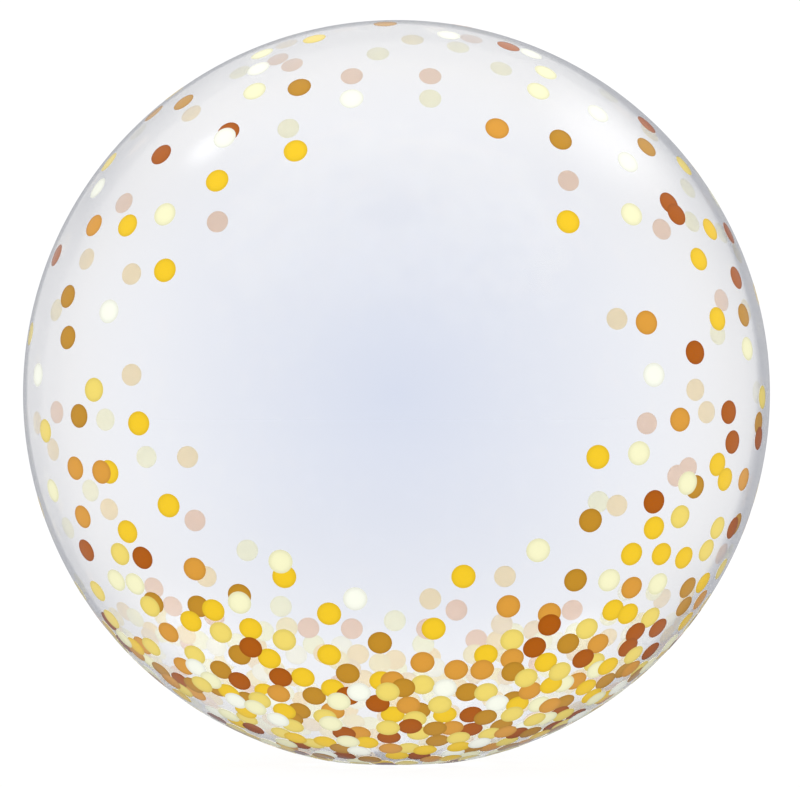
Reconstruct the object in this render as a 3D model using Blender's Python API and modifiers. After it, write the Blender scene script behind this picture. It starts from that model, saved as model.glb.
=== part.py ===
"""A clear bubble balloon: a blown ball of clear film, resting on a small flat spot, with its gathered
neck and flat filling tail folded back along the floor. The film is one piece, parted here at the neck.
Metres, +Z up, the origin at the middle of the flat spot."""

import math

import bmesh
import bpy

# The ball of film
ball_diameter = 0.610
rest_spot_diameter = 0.080

# The neck, a fan of gathered film where the ball runs into its tail
neck_root_width = 0.074
neck_root_depth = 0.026
neck_length = 0.036

# The flat filling tail, welded shut across its end
tail_width = 0.038
tail_length = 0.064
tail_thickness = 0.0012
tail_corner_radius = 0.006

# The room left between the two solids, and under the tail
parting_gap = 0.0003

# How finely the curves are cut into flats
ball_turns = 80
ball_rings = 40
curve_steps = 6

# Sizes that follow from those above
ball_radius = ball_diameter / 2
rest_spot_radius = rest_spot_diameter / 2
ball_centre_height = math.sqrt(ball_radius**2 - rest_spot_radius**2)
neck_root_y = rest_spot_radius - neck_root_depth
neck_end_y = rest_spot_radius + neck_length
tail_start_y = neck_end_y + parting_gap
tail_end_y = tail_start_y + tail_length
tail_top_z = parting_gap + tail_thickness
floor_cut_depth = ball_radius


def clear_scene():
    """Empties the scene, so that only the balloon is in it."""
    for thing in list(bpy.data.objects):
        bpy.data.objects.remove(thing, do_unlink=True)


def new_collection(name):
    """A collection of that name in the scene."""
    collection = bpy.data.collections.new(name)
    bpy.context.scene.collection.children.link(collection)
    return collection


def clear_film(name):
    """Clear stretched film with a faint lavender tint."""
    material = bpy.data.materials.new(name)
    material.use_nodes = True
    shader = material.node_tree.nodes["Principled BSDF"]
    shader.inputs["Base Color"].default_value = (0.86, 0.89, 0.96, 1.0)
    shader.inputs["Roughness"].default_value = 0.05
    shader.inputs["Metallic"].default_value = 0.0
    shader.inputs["Alpha"].default_value = 0.35
    return material


def as_cutter(thing):
    """A shape that only cuts or joins: shown as wire and left out of renders."""
    thing.hide_render = True
    thing.display_type = "WIRE"
    return thing


def ball(collection):
    """The ball, turned about its upright axis from a half circle that runs from the top pole down."""
    outline = bmesh.new()
    corners = []
    for ring in range(ball_rings + 1):
        angle = math.pi * ring / ball_rings
        across = ball_radius * math.sin(angle) if 0 < ring < ball_rings else 0.0
        height = ball_centre_height + ball_radius * math.cos(angle)
        corners.append(outline.verts.new((across, 0.0, height)))
    for upper, lower in zip(corners, corners[1:]):
        outline.edges.new((upper, lower))
    mesh = bpy.data.meshes.new("bubble_balloon")
    outline.to_mesh(mesh)
    outline.free()
    thing = bpy.data.objects.new("bubble_balloon", mesh)
    collection.objects.link(thing)
    turn = thing.modifiers.new("turned", "SCREW")
    turn.steps = ball_turns
    turn.render_steps = ball_turns
    turn.use_merge_vertices = True
    turn.merge_threshold = 0.0001
    turn.use_smooth_shade = True
    return thing


def neck_side():
    """The right side of the neck seen from above: wide at the rest spot, easing in to the tail's width."""
    half_root = neck_root_width / 2
    half_tail = tail_width / 2
    side = [(half_root, neck_root_y)]
    for step in range(curve_steps + 1):
        share = step / curve_steps
        eased = share * share * (3 - 2 * share)
        across = half_root + (half_tail - half_root) * eased
        side.append((across, rest_spot_radius + neck_length * share))
    return side


def tail_side():
    """The right side of the tail seen from above: straight, with a round corner at the welded end."""
    half_tail = tail_width / 2
    side = [(half_tail, tail_start_y)]
    for step in range(curve_steps + 1):
        angle = math.pi / 2 * step / curve_steps
        across = half_tail - tail_corner_radius * (1 - math.cos(angle))
        along = tail_end_y - tail_corner_radius * (1 - math.sin(angle))
        side.append((across, along))
    return side


def flat_piece(name, right_side, bottom, top, collection):
    """A flat solid between two heights, the same on both sides of the middle."""
    outline = bpy.data.curves.new(name, "CURVE")
    outline.dimensions = "2D"
    outline.fill_mode = "BOTH"
    outline.extrude = (top - bottom) / 2
    points = right_side + [(-across, along) for across, along in reversed(right_side)]
    spline = outline.splines.new("POLY")
    spline.points.add(len(points) - 1)
    for point, (across, along) in zip(spline.points, points):
        point.co = (across, along, 0.0, 1.0)
    spline.use_cyclic_u = True
    drawn = bpy.data.objects.new(name + "_outline", outline)
    drawn.location.z = (top + bottom) / 2
    collection.objects.link(drawn)
    bpy.context.view_layer.update()
    flat = drawn.evaluated_get(bpy.context.evaluated_depsgraph_get())
    mesh = bpy.data.meshes.new_from_object(flat)
    closed = bmesh.new()
    closed.from_mesh(mesh)
    bmesh.ops.remove_doubles(closed, verts=closed.verts, dist=0.00001)
    bmesh.ops.recalc_face_normals(closed, faces=closed.faces)
    closed.to_mesh(mesh)
    closed.free()
    thing = bpy.data.objects.new(name, mesh)
    thing.matrix_world = drawn.matrix_world
    collection.objects.link(thing)
    bpy.data.objects.remove(drawn)
    return thing


def floor_block(collection):
    """Everything below the floor, which the resting balloon is flattened against."""
    solid = bmesh.new()
    bmesh.ops.create_cube(solid, size=1.0)
    bmesh.ops.scale(solid, verts=solid.verts, vec=(ball_diameter, ball_diameter, floor_cut_depth))
    bmesh.ops.translate(solid, verts=solid.verts, vec=(0.0, 0.0, -floor_cut_depth / 2))
    mesh = bpy.data.meshes.new("floor_block")
    solid.to_mesh(mesh)
    solid.free()
    thing = bpy.data.objects.new("floor_block", mesh)
    collection.objects.link(thing)
    return as_cutter(thing)


def combine(thing, other, operation):
    """Joins or cuts one closed shape with another."""
    step = thing.modifiers.new(other.name, "BOOLEAN")
    step.operation = operation
    step.solver = "EXACT"
    step.object = other


def build():
    """The ball with its neck joined on, flattened where it rests, and the tail behind it."""
    clear_scene()
    parts = new_collection("clear_bubble_balloon")
    cutters = new_collection("cutters")
    balloon = ball(parts)
    neck = as_cutter(flat_piece("neck", neck_side(), -tail_top_z, tail_top_z, cutters))
    combine(balloon, neck, "UNION")
    combine(balloon, floor_block(cutters), "DIFFERENCE")
    balloon.data.materials.append(clear_film("ball_film"))
    tail = flat_piece("filling_tail", tail_side(), parting_gap, tail_top_z, parts)
    tail.data.materials.append(clear_film("tail_film"))


build()
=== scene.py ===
"""A clear bubble balloon printed with confetti dots, resting on its flattened base."""

import math
import random

import bmesh
import bpy
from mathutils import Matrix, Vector, noise


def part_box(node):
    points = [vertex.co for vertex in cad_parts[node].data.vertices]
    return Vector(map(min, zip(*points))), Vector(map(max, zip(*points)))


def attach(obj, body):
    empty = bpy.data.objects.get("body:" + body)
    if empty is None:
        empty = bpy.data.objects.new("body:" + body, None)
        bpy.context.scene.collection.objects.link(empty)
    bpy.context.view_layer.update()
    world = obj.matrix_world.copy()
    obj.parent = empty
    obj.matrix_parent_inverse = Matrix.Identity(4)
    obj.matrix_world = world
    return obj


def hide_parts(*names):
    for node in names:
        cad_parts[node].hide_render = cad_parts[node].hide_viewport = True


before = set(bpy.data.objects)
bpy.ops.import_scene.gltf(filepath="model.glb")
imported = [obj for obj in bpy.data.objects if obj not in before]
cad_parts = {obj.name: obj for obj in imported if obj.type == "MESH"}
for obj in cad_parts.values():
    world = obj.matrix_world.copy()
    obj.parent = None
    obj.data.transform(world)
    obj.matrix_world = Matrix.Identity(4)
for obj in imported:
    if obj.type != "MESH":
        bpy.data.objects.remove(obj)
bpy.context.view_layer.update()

# The balloon's film: ball, neck and tail
# One seamless skin of clear stretch film, blown round by the air in it. Its lowest patch lies flattened
# on the floor. From there fine puckers run out, and behind it the film is gathered to a neck and a flat
# filling tail, folded back along the floor and welded shut across its end.
ball_low, ball_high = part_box("bubble_balloon")
tail_low, tail_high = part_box("filling_tail")
ball_radius = (ball_high.x - ball_low.x) / 2
ball_centre = Vector((0, 0, ball_high.z - ball_radius))
film_rest_height = 0.0010
rest_edge_softness = 0.0012
ball_turns = 288
ball_rings = 144
pucker_count = 30
pucker_depth = 0.0009
pucker_start = 0.045
pucker_end = 0.125
gathered_all_round = 0.55
gathered_towards_neck = 0.45
pucker_drift = 2.2
drift_scale = 3
drift_seed = 0.7

neck_root = 0.030
neck_spread = 0.037
neck_widest = 0.040
tail_half_width = tail_high.x
tail_start = tail_low.y
tail_end = tail_high.y
tail_corner = 0.006
tail_rows = 150
tail_columns = 56
closer_at_edge = 0.35
tail_underside = 0.0002
tail_thickness = 0.0007
pleat_count = 9
pleat_height = 0.0008
pleat_relief_at_weld = 0.12
pleat_wander = 2.6
wander_scale_across = 1.3
wander_scale_along = 22
wander_seed = 4.1
crease_height = 0.00014
crease_scale_across = 80
crease_scale_along = 90
crease_seed = 9.3
weld_middle = tail_end - 0.013
weld_width = 0.005
weld_rib_pitch = 0.0013
weld_thickness = 0.00032
weld_rib_height = 0.00008
weld_edge = 0.0012
fold_bead_height = 0.00018
fold_bead_width = 0.035
fold_squareness = 24
fold_thickness = 0.00012
under_ball_reach = 0.02

# The film's own tint seen squarely; the paler tint aslant, and how soon it takes over, are a painted sheen
film_tint = (0.853, 0.881, 0.954)
film_tint_aslant_painted_sheen = (0.974, 0.973, 0.979)
painted_sheen_rate = 1.37
film_roughness = 0.12
gloss_face_on = 0.077
gloss_steepness = 3.6
ripple_scale = 9.0
ripple_detail = 3.0
ripple_strength = 0.12
ripple_height = 0.002


def eased(share):
    """A share from 0 to 1 that starts and stops gently."""
    share = min(1.0, max(0.0, share))
    return share * share * (3 - 2 * share)


def pucker(direction):
    """How far the gathered film stands out or in at this place on the ball, in metres."""
    from_pole = math.hypot(direction.x, direction.y) * ball_radius
    if direction.z > 0 or not pucker_start < from_pole < pucker_end:
        return 0.0
    share = (from_pole - pucker_start) / (pucker_end - pucker_start)
    swell = math.sin(math.pi * math.sqrt(share)) ** 2
    turn = math.atan2(direction.y, direction.x)
    gathered = gathered_all_round + gathered_towards_neck * math.sin(turn)
    drift_place = Vector((drift_scale * direction.x, drift_scale * direction.y, drift_seed))
    drift = pucker_drift * noise.noise(drift_place)
    return pucker_depth * swell * gathered * math.sin(pucker_count * turn + drift)


def film_point(direction, lift=0.0):
    """The place on the blown film in this direction from its middle, lifted off the film outwards."""
    point = ball_centre + direction * (ball_radius + pucker(direction) + lift)
    lowest = film_rest_height - lift
    over = point.z - lowest
    point.z = lowest + (over + math.hypot(over, rest_edge_softness)) / 2
    return point


def add_ball(skin):
    """The skin of the ball as one closed sheet."""
    made = bmesh.ops.create_uvsphere(skin, u_segments=ball_turns, v_segments=ball_rings, radius=1.0)
    for corner in made["verts"]:
        corner.co = film_point(corner.co.normalized())


def half_width(along):
    """Half the width of the neck and tail, at this distance behind the middle of the ball."""
    if along < tail_start:
        share = eased((along - neck_widest) / (tail_start - neck_widest))
        return neck_spread + (tail_half_width - neck_spread) * share
    past_corner = max(0.0, (along - tail_end + tail_corner) / tail_corner)
    return tail_half_width - tail_corner * (1 - math.sqrt(max(0.0, 1 - past_corner**2)))


def tail_top(across, along):
    """Height of the upper film of the neck and tail. Across runs from -1 to 1."""
    gathered = 1 - eased((along - neck_widest) / (tail_end - neck_widest))
    under_ball = eased((along - neck_widest) / under_ball_reach)
    wander_place = Vector((wander_scale_across * across, wander_scale_along * along, wander_seed))
    wander = pleat_wander * noise.noise(wander_place)
    ridge = 0.5 + 0.5 * math.cos(pleat_count * math.pi * across + wander)
    relief = pleat_relief_at_weld + (1 - pleat_relief_at_weld) * gathered
    pleats = pleat_height * under_ball * relief * ridge**2
    crease_across = crease_scale_across * across * tail_half_width
    crease_along = crease_scale_along * along
    creases = crease_height * noise.noise(Vector((crease_across, crease_along, crease_seed)))
    height = tail_thickness + pleats + creases
    in_weld = 1 - eased((abs(along - weld_middle) - weld_width / 2) / weld_edge)
    rib = weld_rib_height * math.cos(2 * math.pi * (along - weld_middle) / weld_rib_pitch)
    height += in_weld * (weld_thickness + rib - height)
    fold_bead = fold_bead_height * math.exp(-(((1 - abs(across)) / fold_bead_width) ** 2))
    round_edge = math.sqrt(1 - abs(across) ** fold_squareness)
    return tail_underside + (height + fold_bead) * round_edge + fold_thickness


def add_neck_and_tail(skin):
    """The gathered neck and the flat tail, as one closed flat tube of film."""
    loops = []
    for row in range(tail_rows + 1):
        along = neck_root + (tail_end - neck_root) * row / tail_rows
        half = half_width(along)
        upper = []
        lower = []
        for column in range(tail_columns + 1):
            across = -1 + 2 * column / tail_columns
            towards_edge = math.sin(across * math.pi / 2)
            across = towards_edge * closer_at_edge + across * (1 - closer_at_edge)
            upper.append(skin.verts.new((across * half, along, tail_top(across, along))))
            lower.append(skin.verts.new((across * half, along, tail_underside)))
        loops.append(upper + lower[::-1])
    for near, far in zip(loops, loops[1:]):
        for index in range(len(near)):
            after = (index + 1) % len(near)
            skin.faces.new((near[index], near[after], far[after], far[index]))
    skin.faces.new(loops[0][::-1])
    skin.faces.new(loops[-1])


def clear_film(name):
    """Clear film: tinted where it is looked at squarely, and paler as it turns away, a painted sheen; ever
    more glossy towards its edge, where the light glances off both its faces."""
    material = bpy.data.materials.new(name)
    material.use_nodes = True
    nodes = material.node_tree.nodes
    links = material.node_tree.links
    nodes.clear()
    out = nodes.new("ShaderNodeOutputMaterial")
    turned = nodes.new("ShaderNodeLayerWeight")
    turned.inputs["Blend"].default_value = 0.5

    square = nodes.new("ShaderNodeBsdfTransparent")
    square.inputs["Color"].default_value = (*film_tint, 1)
    # The paler tint aslant: a painted sheen
    painted_sheen_aslant = nodes.new("ShaderNodeBsdfTransparent")
    painted_sheen_aslant.inputs["Color"].default_value = (*film_tint_aslant_painted_sheen, 1)
    root = nodes.new("ShaderNodeMath")
    root.operation = "POWER"
    root.inputs[1].default_value = 0.5
    spread = nodes.new("ShaderNodeMath")
    spread.operation = "MULTIPLY"
    spread.use_clamp = True
    spread.inputs[1].default_value = painted_sheen_rate
    see_through_with_painted_sheen = nodes.new("ShaderNodeMixShader")
    links.new(turned.outputs["Facing"], root.inputs[0])
    links.new(root.outputs[0], spread.inputs[0])
    links.new(spread.outputs[0], see_through_with_painted_sheen.inputs[0])
    links.new(square.outputs[0], see_through_with_painted_sheen.inputs[1])
    links.new(painted_sheen_aslant.outputs[0], see_through_with_painted_sheen.inputs[2])

    ripple = nodes.new("ShaderNodeTexNoise")
    ripple.inputs["Scale"].default_value = ripple_scale
    ripple.inputs["Detail"].default_value = ripple_detail
    place = nodes.new("ShaderNodeTexCoord")
    links.new(place.outputs["Object"], ripple.inputs["Vector"])
    bump = nodes.new("ShaderNodeBump")
    bump.inputs["Strength"].default_value = ripple_strength
    bump.inputs["Distance"].default_value = ripple_height
    links.new(ripple.outputs["Fac"], bump.inputs["Height"])
    gloss = nodes.new("ShaderNodeBsdfGlossy")
    gloss.inputs["Color"].default_value = (1, 1, 1, 1)
    gloss.inputs["Roughness"].default_value = film_roughness
    links.new(bump.outputs["Normal"], gloss.inputs["Normal"])

    steep = nodes.new("ShaderNodeMath")
    steep.operation = "POWER"
    steep.inputs[1].default_value = gloss_steepness
    share = nodes.new("ShaderNodeMapRange")
    share.inputs["From Min"].default_value = 0.0
    share.inputs["From Max"].default_value = 1.0
    share.inputs["To Min"].default_value = gloss_face_on
    share.inputs["To Max"].default_value = 1.0
    links.new(turned.outputs["Facing"], steep.inputs[0])
    links.new(steep.outputs[0], share.inputs["Value"])
    film = nodes.new("ShaderNodeMixShader")
    links.new(share.outputs["Result"], film.inputs[0])
    links.new(see_through_with_painted_sheen.outputs[0], film.inputs[1])
    links.new(gloss.outputs[0], film.inputs[2])
    links.new(film.outputs[0], out.inputs["Surface"])
    return material


skin = bmesh.new()
add_ball(skin)
add_neck_and_tail(skin)
bmesh.ops.recalc_face_normals(skin, faces=skin.faces)
for face in skin.faces:
    face.smooth = True
film_mesh = bpy.data.meshes.new("balloon_film")
skin.to_mesh(film_mesh)
skin.free()
balloon_film = bpy.data.objects.new("balloon_film", film_mesh)
bpy.context.scene.collection.objects.link(balloon_film)
film_mesh.materials.append(clear_film("clear_film"))
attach(balloon_film, "root")
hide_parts("bubble_balloon", "filling_tail")

# The printed confetti
# Round dots of opaque ink, printed on the outside of the front and the back of the film before it is
# blown. They leave a clear window in the middle of each face, stand apart round it, and crowd towards
# the bottom. The ink is bright outside, over a pale backing, so that it looks faded from inside.
dot_radius = 0.0095
dot_corners = 28
dot_rings = 3
dot_stretch = 0.38
stretch_rise = 1.3
ink_thickness = 0.00002
first_lift = 0.00008
lift_step = 0.00003
lift_reach = 2.5 * dot_radius
# Painted shade at the rim of each dot: how dark it gets, and how close to the rim it stays
painted_rim_shade = 0.8
rim_sharpness = 5
window_height = 0.08
window_reach = 0.56
window_edge = 0.2
front_crowd_edge = -0.66
back_crowd_edge = -0.62
crowd_fade = 0.16
crowd_rise = 0.2
back_starts = 0.3
front_starts = -0.3
hand_placed_front = -0.1
hand_placed_above = -0.42
sparse = 0.03
pole_clearance = 0.05
roomy = 2.3 * dot_radius
crowded = 1.1 * dot_radius
own_ink_room = 2.6 * dot_radius
crowd_tightening = 1.5
scatter_attempts = 8000
scatter = random.Random(24)

# The view from the front, level with the ball's middle: how far off, and how wide the ball's outline is
viewing_distance = 4.547
outline_slope = math.tan(math.asin(ball_radius / viewing_distance))

# Places of single dots as seen from the front, in hundredths of the outline's radius: across and up
near_dots = {
    "ochre": [(52, -34), (48, -50), (-88, 26), (-88, 15), (-85, -6), (-13, -75), (-26, 82), (44, 68),
              (91, -35), (-3, 99), (-57, 78), (-65, 75), (67, 66), (93, 21), (97, -8), (78, -52),
              (77, -57), (56, -77), (46, -67), (31, -82), (19, -80), (6, -85), (11, -93), (-22, -81),
              (-26, -85), (-28, -87), (-40, -82), (-42, -70), (-47, -74), (-53, -57), (-42, -54),
              (80, -25), (61, -74), (-48, -79), (-65, -56)],
    "gold": [(-27, 65), (-48, 57), (-62, 33), (-72, 45), (-69, -8), (-61, -30), (46, 46), (54, -17),
             (18, -49), (-30, -49), (-18, -59), (10, -63), (63, -43), (81, 36), (86, 20), (84, 44),
             (86, -19), (88, -23), (69, -36), (71, -43), (77, -44), (58, -58), (62, -59), (40, -72),
             (24, -70), (13, -86), (-1, -86), (-4, -77), (-17, -79), (-18, -70), (-25, -76), (-34, -71),
             (-35, -80), (-39, -63), (-49, -58), (-55, -61), (-72, -37), (-77, -21)],
    "pale_yellow": [(-81, 1), (-94, -10), (-98, 16), (-22, 95), (98, -1), (87, -47), (77, 61),
                    (-77, 62), (76, -33), (86, -36), (83, -42), (68, -60), (51, -63), (53, -72),
                    (31, -66), (24, -80), (7, -78), (6, -91), (-30, -66), (-40, -87), (-47, -64),
                    (-54, -70), (-66, -57), (-74, -43)],
    "amber": [(27, 71), (67, 19), (76, -7), (93, -23), (-81, 45), (-86, -20), (-84, -33), (-79, -21),
              (30, -57), (41, -59), (63, -52), (54, -67), (31, -71), (23, -74), (16, -74), (48, -77),
              (7, -72), (-1, -77), (-10, -91), (-17, -85), (-54, -47), (-57, -73), (-61, -64)],
    "copper": [(-63, 64), (80, 11), (73, 51), (75, 48), (69, -29), (89, -5), (90, -13), (-68, -44),
               (30, 93), (89, 43), (-45, 70), (-91, 37), (-83, -42), (67, 72), (91, 31), (97, -12),
               (90, -36), (41, -62), (37, -68), (64, -64), (62, -68), (68, -69), (50, -71), (20, -86),
               (20, -90), (-2, -92), (-5, -83), (-13, -81), (-14, -91), (-31, -76), (-39, -68),
               (-42, -77), (-77, -61), (-73, -67), (-48, -87), (42, -89), (48, -86), (6, -97),
               (-14, -97), (-26, -94)],
    "cream": [(63, 48), (38, -42), (65, -16), (-31, -45), (-62, 48), (-42, -56), (57, -50), (70, -51),
              (38, 81), (-38, 81), (-36, 91), (40, 86), (-75, -50), (-70, -51), (78, -24),
              (94, 12), (-92, -26)],
    "white": [(-12, 79), (69, 5), (-11, -55), (-77, 22), (-10, -80), (13, -79), (27, -83), (54, 75),
              (14, 96), (36, 91), (-37, 87), (-46, 68.5), (-96, 5), (-80, 55), (62, 62)],
}
far_dots = {
    "copper": [(-48, 46), (-54, -34), (-12, -63), (16, -58), (67, -8), (71, 44), (-12, 85), (75, -22),
               (87, 25), (-73, 51), (-91, -5), (-28, 88), (9, 85), (20, 95), (47, -58), (-60, -57),
               (-65, -52), (78, -20), (46, 57)],
    "amber": [(-71, 32), (-71, 5), (-56, -17), (9, -55), (59, 20), (59, -30), (29, -49),
              (-51, -49), (-83, 36), (80, 1), (-55, 75), (-92, -15), (-77, -31), (83, -5)],
    "pale_yellow": [(-29, 71), (9, 79), (28, 87), (86, 16), (-40, -42), (-31, -57), (-5, 91), (-42, 86),
                    (-78, -7), (-67, -17), (78, 55), (87, 43), (79, 46), (54, -29), (-88, -36),
                    (-70, -60), (-82, -26)],
}


def seen(red, green, blue):
    """A colour as the eye names it, in parts of 255, as light."""
    return [((part / 255 + 0.055) / 1.055) ** 2.4 for part in (red, green, blue)]


# Each ink as (its colour outside, its colour inside, its share when a scattered dot's ink is drawn)
inks = {
    "gold": (seen(240, 199, 38), seen(251, 239, 196), 28),
    "pale_yellow": (seen(237, 214, 107), seen(252, 249, 215), 20),
    "amber": (seen(217, 154, 58), seen(251, 232, 188), 17),
    "ochre": (seen(192, 139, 38), seen(247, 230, 196), 11),
    "copper": (seen(174, 90, 2), seen(243, 214, 188), 10),
    "cream": (seen(243, 241, 198), seen(252, 249, 228), 16),
    "white": (seen(246, 248, 234), seen(252, 252, 248), 7),
}

# How much brighter than its own colour the studio's light makes the print, and the finish of its faces
light_on_print = 1.28
mottle_scale = 240.0
mottle_detail = 2.0
mottle_strength = 0.2
# Painted shade at the rim of each dot, outside and inside, then the roughness and gloss of each face
ink_rim_shade = 0.78
ink_roughness = 0.13
ink_gloss = 0.12
backing_rim_shade = 0.94
backing_roughness = 0.5
backing_gloss = 0.2


def printed_ink(name, colour, rim_shade, roughness, gloss):
    """One face of the ink, faintly mottled, and darker at the rim of each dot: painted shade."""
    material = bpy.data.materials.new(name)
    material.use_nodes = True
    nodes = material.node_tree.nodes
    links = material.node_tree.links
    shader = nodes["Principled BSDF"]
    place = nodes.new("ShaderNodeTexCoord")
    mottle = nodes.new("ShaderNodeTexNoise")
    mottle.inputs["Scale"].default_value = mottle_scale
    mottle.inputs["Detail"].default_value = mottle_detail
    links.new(place.outputs["Object"], mottle.inputs["Vector"])
    # A painted shade at the rim of each dot, mixed with the mottle
    rim = nodes.new("ShaderNodeAttribute")
    rim.attribute_name = "dot_rim_painted_shade"
    mottle_and_painted_shade = nodes.new("ShaderNodeMath")
    mottle_and_painted_shade.operation = "MULTIPLY_ADD"
    mottle_and_painted_shade.inputs[1].default_value = mottle_strength
    links.new(mottle.outputs["Fac"], mottle_and_painted_shade.inputs[0])
    links.new(rim.outputs["Fac"], mottle_and_painted_shade.inputs[2])
    tone = nodes.new("ShaderNodeMix")
    tone.data_type = "RGBA"
    tone.inputs["A"].default_value = (*colour, 1)
    tone.inputs["B"].default_value = (*[part * rim_shade for part in colour], 1)
    links.new(mottle_and_painted_shade.outputs[0], tone.inputs["Factor"])
    links.new(tone.outputs["Result"], shader.inputs["Base Color"])
    shader.inputs["Roughness"].default_value = roughness
    shader.inputs["Specular IOR Level"].default_value = gloss
    return material


def seen_at(across, up, far=False):
    """The direction, from the ball's middle, of the film seen at this share of the outline's radius."""
    ray = Vector((across * outline_slope, 1, up * outline_slope)).normalized()
    halfway = viewing_distance * ray.y
    half_chord = math.sqrt(halfway**2 - viewing_distance**2 + ball_radius**2)
    along = halfway + half_chord if far else halfway - half_chord
    return (ray * along - Vector((0, viewing_distance, 0))).normalized()


def crowding(direction):
    """How many dots are scattered here, from 0 for none to 1 for the crowded bottom. Above the crowd, the
    front and back have only the dots listed above, and the sides between them have a few more."""
    from_window = math.hypot(direction.x, direction.z - window_height) - window_reach
    past_window = eased(from_window / window_edge)
    crowd_edge = front_crowd_edge if direction.y < front_starts else back_crowd_edge
    low = eased((crowd_edge - direction.z + crowd_rise * direction.x**2) / crowd_fade)
    front_by_hand = direction.y < hand_placed_front and direction.z > hand_placed_above
    thin = 0.0 if front_by_hand or direction.y > back_starts else sparse
    return past_window * (thin + (1 - thin) * low)


def printed_dots():
    """All dots as (direction, ink), in the order in which they are printed."""
    names = [name for name, (outside, inside, share) in inks.items() for turn in range(share)]
    placed = []
    for places, far in ((near_dots, False), (far_dots, True)):
        for name, spots in places.items():
            for across, up in spots:
                placed.append((seen_at(across / 100, up / 100, far), name))
    for attempt in range(scatter_attempts):
        up = scatter.uniform(-1, 1)
        turn = scatter.uniform(0, 2 * math.pi)
        level = math.sqrt(1 - up * up)
        direction = Vector((level * math.cos(turn), level * math.sin(turn), up))
        chance = scatter.random()
        name = scatter.choice(names)
        crowd = crowding(direction)
        if chance > crowd or (up < 0 and level * ball_radius < pole_clearance):
            continue
        room = roomy - (roomy - crowded) * eased(crowd * crowd_tightening)
        near = math.cos(room / ball_radius)
        near_own = math.cos(own_ink_room / ball_radius)
        if any(direction.dot(other) > (near_own if ink == name else near) for other, ink in placed):
            continue
        placed.append((direction, name))
    return placed


def lifts_of(dots):
    """How high each dot lies: over every dot printed before it that it overlaps."""
    overlap = math.cos(lift_reach / ball_radius)
    levels = []
    for index, (direction, name) in enumerate(dots):
        under = [levels[i] for i in range(index) if direction.dot(dots[i][0]) > overlap]
        levels.append(1 + max(under, default=-1))
    return [first_lift + level * lift_step for level in levels]


def add_dot(sheet, rim, direction, lift):
    """One disc of ink that follows the film, longer away from the middle of its face of the balloon."""
    face_middle = Vector((0, -1 if direction.y < 0 else 1, 0))
    outwards = direction - face_middle * direction.dot(face_middle)
    reach = outwards.length
    outwards = (outwards - direction * outwards.dot(direction)).normalized()
    sideways = direction.cross(outwards)
    stretch = 1 + dot_stretch * min(1.0, stretch_rise * reach * reach)
    layers = []
    for height in (lift, lift + ink_thickness):
        middle = sheet.verts.new(film_point(direction, height))
        middle[rim] = 0.0
        rings = []
        for ring in range(1, dot_rings + 1):
            share = ring / dot_rings
            circle = []
            for corner in range(dot_corners):
                angle = 2 * math.pi * corner / dot_corners
                along = share * dot_radius * stretch * math.cos(angle) / ball_radius
                aside = share * dot_radius * math.sin(angle) / ball_radius
                spot = (direction + outwards * along + sideways * aside).normalized()
                vert = sheet.verts.new(film_point(spot, height))
                # The painted shade, growing towards the rim of the dot
                vert[rim] = painted_rim_shade * share**rim_sharpness
                circle.append(vert)
            rings.append(circle)
        layers.append((middle, rings))
    for side, (middle, rings) in enumerate(layers):
        for corner in range(dot_corners):
            after = (corner + 1) % dot_corners
            faces = [(middle, rings[0][corner], rings[0][after])]
            for inner, outer in zip(rings, rings[1:]):
                faces.append((inner[corner], outer[corner], outer[after], inner[after]))
            for corners in faces:
                face = sheet.faces.new(corners if side else corners[::-1])
                face.material_index = 0 if side else 1
                face.smooth = True
    for corner in range(dot_corners):
        after = (corner + 1) % dot_corners
        low_ring, high_ring = layers[0][1][-1], layers[1][1][-1]
        edge = sheet.faces.new((low_ring[corner], low_ring[after], high_ring[after], high_ring[corner]))
        for side in edge.edges:
            side.smooth = False


dots = printed_dots()
lifts = lifts_of(dots)
for ink, (outside, inside, share) in inks.items():
    sheet = bmesh.new()
    rim = sheet.verts.layers.float.new("dot_rim_painted_shade")
    for (direction, name), lift in zip(dots, lifts):
        if name == ink:
            add_dot(sheet, rim, direction, lift)
    mesh = bpy.data.meshes.new(ink + "_dots")
    sheet.to_mesh(mesh)
    sheet.free()
    printed = bpy.data.objects.new(ink + "_dots", mesh)
    bpy.context.scene.collection.objects.link(printed)
    own_colour = [part / light_on_print for part in outside]
    bright = printed_ink(ink + "_ink", own_colour, ink_rim_shade, ink_roughness, ink_gloss)
    pale = printed_ink(ink + "_backing", inside, backing_rim_shade, backing_roughness, backing_gloss)
    mesh.materials.append(bright)
    mesh.materials.append(pale)
    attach(printed, "root")

# The studio
# A white table without a visible edge, a white backdrop, soft light from all sides and a lamp overhead.
# What the film mirrors is a grey room, white overhead, behind and at the left, darker below and in
# front, with a dark flag low behind, a wide faint soft box at the right and a small bright one at left.
table_reach = 60.0
table_drop = 0.0004
table_base = 0.06
table_glow = 0.945
backdrop_glow = 1.03
soft_light_strength = 1.50
mirrored_shade = (0.13, 0.145, 0.20)
mirrored_grey = 0.52
box_full = 0.1
box_gone = 1.8
box_side_angles = (60, 80)
lamp_width = 2.4
lamp_depth = 1.6
lamp_power = 7
lamp_place = (0.4, -0.5, 2.6)
lamp_tilt = (math.radians(-12), math.radians(9), 0)

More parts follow.
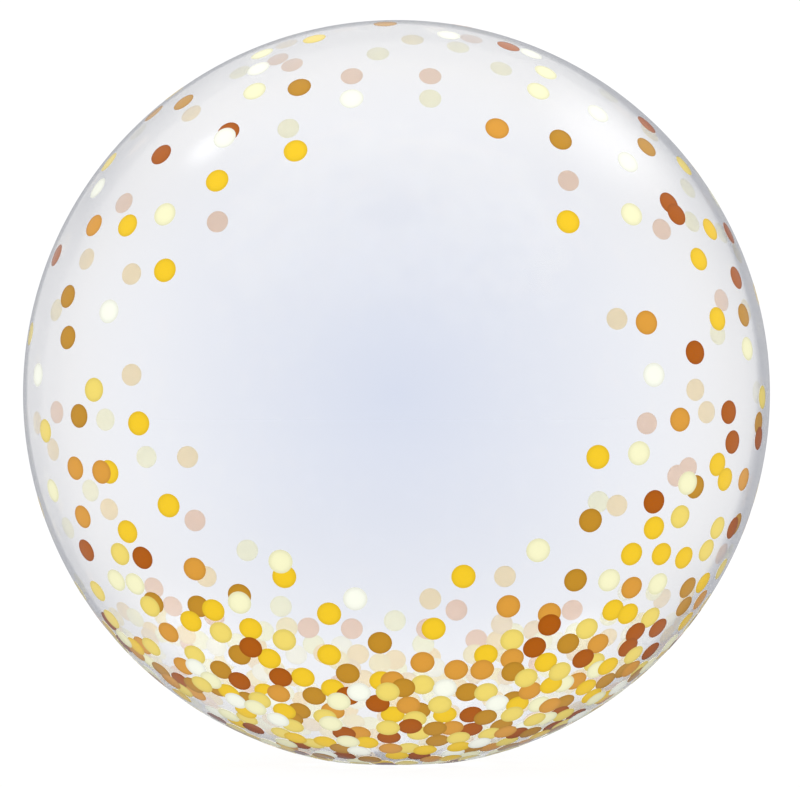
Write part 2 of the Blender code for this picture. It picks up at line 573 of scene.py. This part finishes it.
table = bmesh.new()
bmesh.ops.create_grid(table, x_segments=1, y_segments=1, size=table_reach)
bmesh.ops.translate(table, verts=table.verts, vec=(0, 0, -table_drop))
table_mesh = bpy.data.meshes.new("table")
table.to_mesh(table_mesh)
table.free()
floor = bpy.data.objects.new("table", table_mesh)
bpy.context.scene.collection.objects.link(floor)
white_table = bpy.data.materials.new("white_table")
white_table.use_nodes = True
table_shader = white_table.node_tree.nodes["Principled BSDF"]
table_shader.inputs["Base Color"].default_value = (table_base, table_base, table_base, 1)
table_shader.inputs["Roughness"].default_value = 1.0
table_shader.inputs["Specular IOR Level"].default_value = 0.0
table_shader.inputs["Emission Color"].default_value = (1, 1, 1, 1)
table_shader.inputs["Emission Strength"].default_value = table_glow
table_mesh.materials.append(white_table)
floor.visible_glossy = False
floor.visible_diffuse = False

studio = bpy.data.worlds.new("studio")
bpy.context.scene.world = studio
studio.use_nodes = True
room_nodes = studio.node_tree.nodes
room_links = studio.node_tree.links
room_nodes.clear()
sky = room_nodes.new("ShaderNodeTexCoord")


def turned_by(axis):
    """The look into the room, measured along this axis: from -1 to 1 where the axis has length 1."""
    along = room_nodes.new("ShaderNodeVectorMath")
    along.operation = "DOT_PRODUCT"
    along.inputs[1].default_value = axis
    room_links.new(sky.outputs["Generated"], along.inputs[0])
    return along.outputs["Value"]


def fading(value, full, gone):
    """1 where the value is at or past full, 0 where it is at or past gone, eased between."""
    fade = room_nodes.new("ShaderNodeMapRange")
    fade.interpolation_type = "SMOOTHSTEP"
    fade.inputs["From Min"].default_value = gone
    fade.inputs["From Max"].default_value = full
    room_links.new(value, fade.inputs["Value"])
    return fade.outputs["Result"]


def sum_of(start, gains):
    """A starting value plus each part times its gain."""
    total = None
    for part, gain in gains:
        step = room_nodes.new("ShaderNodeMath")
        step.operation = "MULTIPLY_ADD"
        step.inputs[1].default_value = gain
        room_links.new(part, step.inputs[0])
        if total is None:
            step.inputs[2].default_value = start
        else:
            room_links.new(total, step.inputs[2])
        total = step.outputs[0]
    return total


def patch(axis, full_angle, gone_angle):
    """A round patch of the room about this axis, given by its half angles in degrees."""
    return fading(turned_by(axis), math.cos(math.radians(full_angle)), math.cos(math.radians(gone_angle)))


def both(first, second):
    """Where two parts of the room overlap."""
    product = room_nodes.new("ShaderNodeMath")
    product.operation = "MULTIPLY"
    room_links.new(first, product.inputs[0])
    room_links.new(second, product.inputs[1])
    return product.outputs[0]


def mirrored(across, up):
    """Where in the room the film's reflection looks, at this share of the outline's radius."""
    ray = Vector((across * outline_slope, 1, up * outline_slope)).normalized()
    normal = seen_at(across, up)
    return ray - 2 * ray.dot(normal) * normal


def soft_box(across, up, width, height):
    """The soft-edged face of a light that the film mirrors at this place, by its half angles in degrees."""
    middle = mirrored(across, up)
    sideways = Vector((0, 1, 0)).cross(middle).normalized()
    upright = middle.cross(sideways)
    box = room_nodes.new("ShaderNodeCombineXYZ")
    room_links.new(turned_by(sideways / math.sin(math.radians(width))), box.inputs["X"])
    room_links.new(turned_by(upright / math.sin(math.radians(height))), box.inputs["Y"])
    off_middle = room_nodes.new("ShaderNodeVectorMath")
    off_middle.operation = "LENGTH"
    room_links.new(box.outputs[0], off_middle.inputs[0])
    face = fading(off_middle.outputs["Value"], box_full, box_gone)
    return both(face, patch(middle, *box_side_angles))


overhead_white = patch((0, 0.5, 0.866), 25, 49)
dark_below = patch((0, 0, -1), 45, 75)
white_behind = patch((0, 1, 0), 12, 28)
dark_in_front = patch((0, -1, 0), 10, 90)
dark_flag = patch(Vector((0.110, 0.986, -0.123)).normalized(), 26.5, 29.5)
white_at_left = patch(Vector((-0.55, 0.83, 0.05)).normalized(), 5, 17)
white_share = sum_of(mirrored_grey, [
    (overhead_white, 0.50),
    (dark_below, -0.30),
    (white_behind, 0.31),
    (dark_in_front, -0.19),
    (dark_flag, -0.43),
    (white_at_left, 0.20),
])
tone = room_nodes.new("ShaderNodeMix")
tone.data_type = "RGBA"
tone.inputs["A"].default_value = (*mirrored_shade, 1)
tone.inputs["B"].default_value = (1, 1, 1, 1)
room_links.new(white_share, tone.inputs["Factor"])
walls = room_nodes.new("ShaderNodeBackground")
room_links.new(tone.outputs["Result"], walls.inputs["Color"])
boxes = room_nodes.new("ShaderNodeBackground")
boxes.inputs["Color"].default_value = (1, 1, 1, 1)
wide_box = soft_box(0.57, 0.66, 9, 15)
small_box = soft_box(-0.505, 0.657, 3.6, 4.6)
box_light = sum_of(0.0, [(wide_box, 0.75), (small_box, 1.4)])
room_links.new(box_light, boxes.inputs["Strength"])
mirrored_room = room_nodes.new("ShaderNodeAddShader")
room_links.new(walls.outputs[0], mirrored_room.inputs[0])
room_links.new(boxes.outputs[0], mirrored_room.inputs[1])

backdrop = room_nodes.new("ShaderNodeBackground")
backdrop.inputs["Color"].default_value = (1, 1, 1, 1)
backdrop.inputs["Strength"].default_value = backdrop_glow
soft_light = room_nodes.new("ShaderNodeBackground")
soft_light.inputs["Color"].default_value = (1, 1, 1, 1)
soft_light.inputs["Strength"].default_value = soft_light_strength
look = room_nodes.new("ShaderNodeLightPath")
lit = room_nodes.new("ShaderNodeMixShader")
room_links.new(look.outputs["Is Camera Ray"], lit.inputs[0])
room_links.new(soft_light.outputs[0], lit.inputs[1])
room_links.new(backdrop.outputs[0], lit.inputs[2])
room = room_nodes.new("ShaderNodeMixShader")
room_links.new(look.outputs["Is Glossy Ray"], room.inputs[0])
room_links.new(lit.outputs[0], room.inputs[1])
room_links.new(mirrored_room.outputs[0], room.inputs[2])
room_out = room_nodes.new("ShaderNodeOutputWorld")
room_links.new(room.outputs[0], room_out.inputs["Surface"])

lamp = bpy.data.lights.new("overhead_soft_box", "AREA")
lamp.shape = "RECTANGLE"
lamp.size = lamp_width
lamp.size_y = lamp_depth
lamp.energy = lamp_power
overhead = bpy.data.objects.new("overhead_soft_box", lamp)
overhead.location = lamp_place
overhead.rotation_euler = lamp_tilt
overhead.visible_camera = False
overhead.visible_glossy = False
bpy.context.scene.collection.objects.link(overhead)

# The camera
photo_width = 800
outline_in_photo = 747
middle_off_centre = -3.5
sensor = 36
pixels_per_slope = outline_in_photo / 2 / outline_slope
view = bpy.data.cameras.new("camera")
view.sensor_width = sensor
view.lens = pixels_per_slope * sensor / photo_width
camera = bpy.data.objects.new("camera", view)
camera.location = (-middle_off_centre / pixels_per_slope * viewing_distance, -viewing_distance, ball_centre.z)
camera.rotation_euler = (math.pi / 2, 0, 0)
bpy.context.scene.collection.objects.link(camera)
bpy.context.scene.camera = camera
bpy.context.scene.view_settings.view_transform = "Standard"
